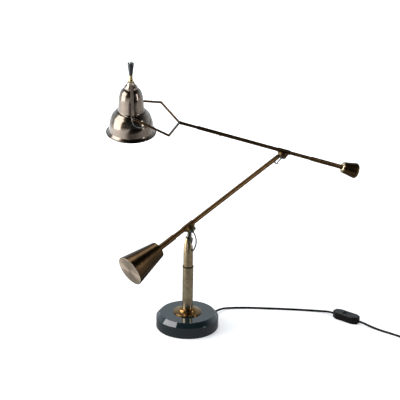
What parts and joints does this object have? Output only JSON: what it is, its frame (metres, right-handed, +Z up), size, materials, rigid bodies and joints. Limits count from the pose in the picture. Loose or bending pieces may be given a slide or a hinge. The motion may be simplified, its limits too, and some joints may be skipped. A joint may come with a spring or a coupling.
{
  "type": "counterweight balance desk lamp",
  "caption": "Desk lamp with two counterweighted arms on friction hinges over a heavy round base, and a forked, tilting two-tier bell shade with a finial.",
  "frame": {"origin": "centre of the round base on the table", "axes": "+Z up along the stem, -Y towards the viewer of the picture, +X to the side where the mains cord leaves"},
  "size_m": [0.8579, 0.4073, 0.648],
  "materials": {
    "black_lacquer": "high gloss black lacquer",
    "felt": "felt",
    "iron": "raw casting",
    "bronze": "satin bronze patina",
    "pale_brass": "brushed",
    "dark_bronze": "dark bronze patina",
    "gunmetal": "grey satin",
    "steel": "turned",
    "bright_brass": "turned face",
    "bronzed_aluminium": "bronzed satin",
    "fibre": "fibre washer",
    "black_rubber": "flexible sheath",
    "black_plastic": "fine grain",
    "grip_black": "polished",
    "tip_grey": "turned",
    "glass": "opal",
    "nickel": "plated"
  },
  "bodies": {
    "base": {"felt_pad": "felt", "base_disc": "black_lacquer", "ballast_plate": "iron", "base_flange": "bronze", "stem_tube": "bronze", "stem_ring": "dark_bronze", "tie_rod": "steel", "tie_nut": "steel", "cord_gland": "black_rubber", "cord_to_switch": "black_rubber", "switch_lower": "black_plastic", "switch_upper": "black_plastic", "cord_to_coil": "black_rubber", "cord_coil": "black_rubber", "cord_to_plug": "black_rubber", "plug_body": "black_plastic", "plug_pins": "nickel"},
    "mast": {"mast": "pale_brass", "mast_grommet": "black_rubber", "lower_pivot_pin": "steel", "stem_flex_loop": "black_rubber"},
    "lower_knuckle": {"lower_knuckle": "gunmetal", "lower_cup_lid": "black_plastic"},
    "lower_arm": {"lower_hub_saddle": "bronze", "lower_hub_washer": "fibre", "lower_hub_axle": "steel", "lower_hub_nut": "steel", "lower_arm_tube": "bronze", "lower_arm_head": "bronze", "arm_grommet": "black_rubber", "upper_pivot_pin": "steel", "big_weight_shank": "bronze", "big_counterweight": "dark_bronze", "big_weight_face": "bright_brass", "arm_flex_loop": "black_rubber"},
    "upper_knuckle": {"upper_knuckle": "gunmetal", "upper_cup_lid": "black_plastic"},
    "upper_arm": {"upper_hub_saddle": "dark_bronze", "upper_hub_washer": "fibre", "upper_hub_axle": "steel", "upper_hub_nut": "steel", "upper_arm_tube": "bronze", "small_weight_shank": "bronze", "small_weight_collar": "bright_brass", "small_counterweight": "dark_bronze", "fork_set_screw": "steel"},
    "fork": {"fork_shank": "bronze", "fork_frame": "bronzed_aluminium", "pivot_screws": "steel"},
    "shade": {"bail": "bronzed_aluminium", "shade": "bronzed_aluminium", "shade_cap": "bronzed_aluminium", "finial_neck": "pale_brass", "finial_grip": "grip_black", "finial_tip": "tip_grey", "lamp_holder": "black_plastic", "bulb_cap": "nickel", "bulb_glass": "glass", "shade_flex_loop": "black_rubber"},
    "rocker": {"switch_rocker": "black_plastic"}
  },
  "joints": [
    {"name": "stem_swivel", "type": "hinge", "parent": "base", "child": "mast", "pos_m": [0, 0, 0], "axis": [0, 0, 1], "range_deg": [-165, 165]},
    {"name": "lower_head_swivel", "type": "hinge", "parent": "mast", "child": "lower_knuckle", "pos_m": [0, 0, 0.2294], "axis": [0.7221, 0.2557, 0.6428], "range_deg": [-40, 40], "deforming": ["stem_flex_loop"]},
    {"name": "lower_arm_hinge", "type": "hinge", "parent": "lower_knuckle", "child": "lower_arm", "pos_m": [-0.0009, 0.006, 0.2657], "axis": [-0.6377, 0.3044, 0.7076], "range_deg": [-60, 60]},
    {"name": "upper_head_swivel", "type": "hinge", "parent": "lower_arm", "child": "upper_knuckle", "pos_m": [0.21929, 0.1974, 0.3818], "axis": [0.5777, 0.6715, -0.4641], "range_deg": [-40, 40], "deforming": ["arm_flex_loop"]},
    {"name": "upper_arm_hinge", "type": "hinge", "parent": "upper_knuckle", "child": "upper_arm", "pos_m": [0.2379, 0.208, 0.3957], "axis": [0.3195, -0.0515, 0.9462], "range_deg": [-60, 60]},
    {"name": "fork_twist", "type": "hinge", "parent": "upper_arm", "child": "fork", "pos_m": [0.2379, 0.208, 0.3957], "axis": [0.9346, 0.1817, -0.3057], "range_deg": [-90, 90]},
    {"name": "shade_tilt", "type": "hinge", "parent": "fork", "child": "shade", "pos_m": [-0.14717, 0.13315, 0.52165], "axis": [-0.1347, 0.9764, 0.1686], "range_deg": [-60, 60], "deforming": ["shade_flex_loop"]},
    {"name": "rocker_tilt", "type": "hinge", "parent": "base", "child": "rocker", "pos_m": [0.402, 0.0515, 0.0172], "axis": [0.6293, 0.7771, 0], "range_deg": [0, 8]}
  ]
}
